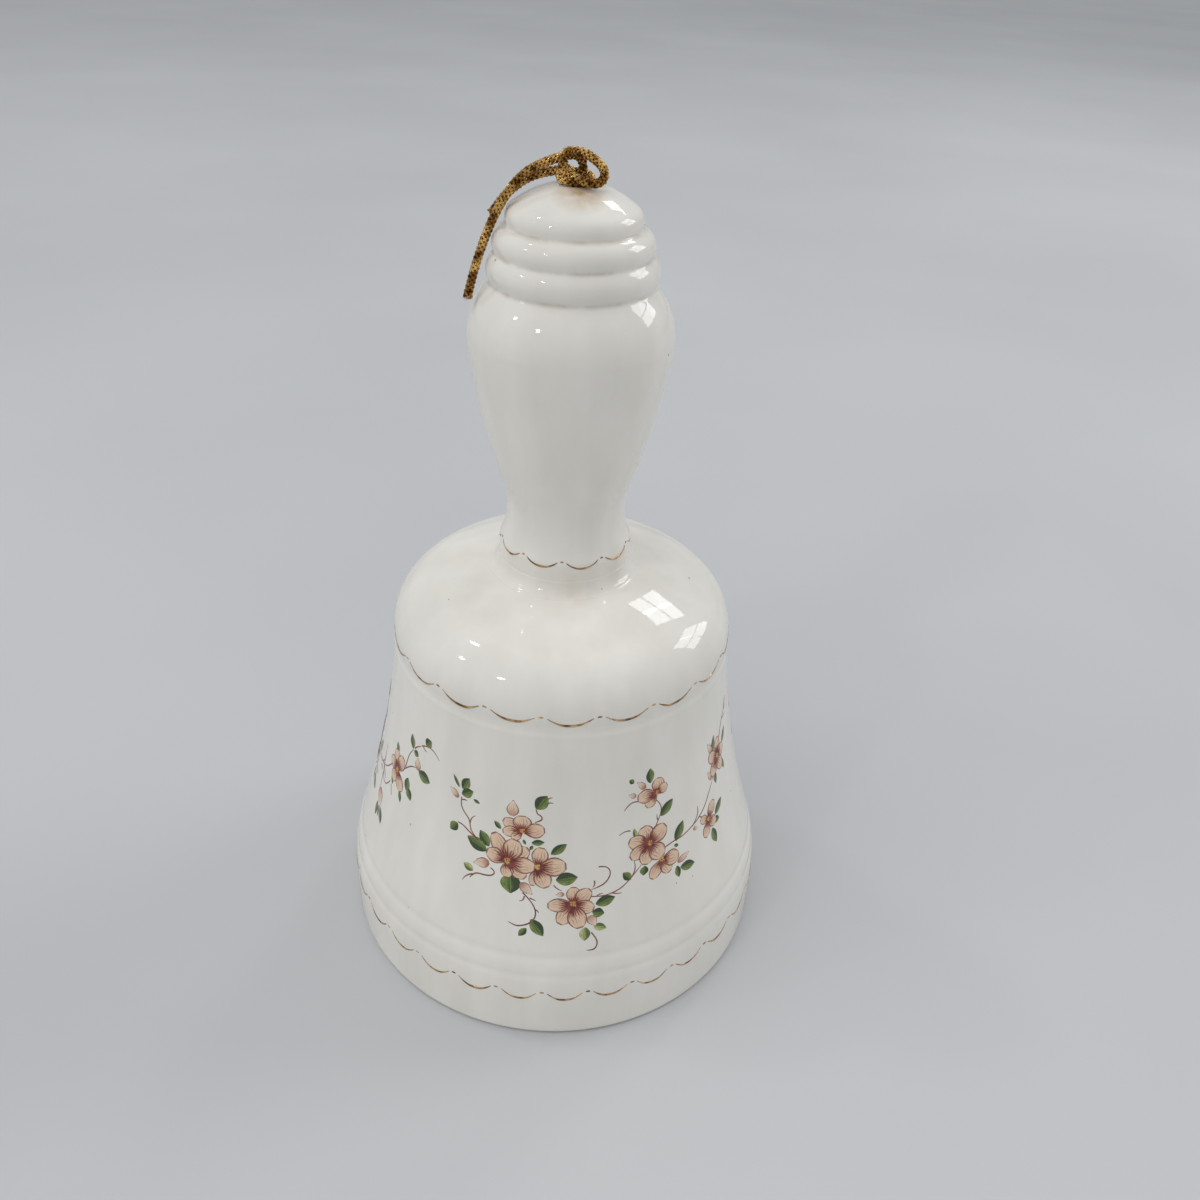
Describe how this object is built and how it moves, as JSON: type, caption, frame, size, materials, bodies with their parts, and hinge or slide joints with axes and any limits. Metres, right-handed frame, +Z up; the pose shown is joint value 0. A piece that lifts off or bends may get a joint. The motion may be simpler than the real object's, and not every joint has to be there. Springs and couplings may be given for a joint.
{
  "type": "porcelain hand bell",
  "caption": "Glazed porcelain hand bell with a hollow baluster handle, a ringed finial, a clapper hung on a doubled braided cord, fired flower sprays and scalloped metallic lines.",
  "frame": {"origin": "centre of the rim's foot, on the surface that the bell stands on", "axes": "+Z up the bell's axis, +X to the right and -Y towards the viewer of the main flower spray"},
  "size_m": [0.123, 0.123, 0.2184],
  "materials": {
    "glazed_porcelain": "glossy clear glaze over warm white body, bare at the foot",
    "clapper_porcelain": "glossy clear glaze",
    "metallic_braid": "tightly braided gold and black metallic thread",
    "overglaze_decor": "fired transfer flowers, leaves and scalloped metallic lines"
  },
  "bodies": {
    "bell": {"bell_shell": "glazed_porcelain", "handle_shell": "glazed_porcelain", "slip_fillet": "glazed_porcelain", "top_knot": "metallic_braid", "cord_long_tail": "metallic_braid", "cord_short_tail": "metallic_braid", "cord_loop": "metallic_braid"},
    "cord_drop": {"upper_strand_left": "metallic_braid", "upper_strand_right": "metallic_braid"},
    "clapper": {"clapper": "clapper_porcelain", "stop_knot": "metallic_braid", "lower_strand_left": "metallic_braid", "lower_strand_right": "metallic_braid"}
  },
  "joints": [
    {"name": "clapper_turn", "type": "hinge", "parent": "bell", "child": "cord_drop", "pos_m": [0, 0, 0.113], "axis": [0, 0, 1], "continuous": true},
    {"name": "clapper_swing", "type": "hinge", "parent": "cord_drop", "child": "clapper", "pos_m": [0, 0, 0.113], "axis": [0, 1, 0], "range_deg": [-27, 27]}
  ]
}
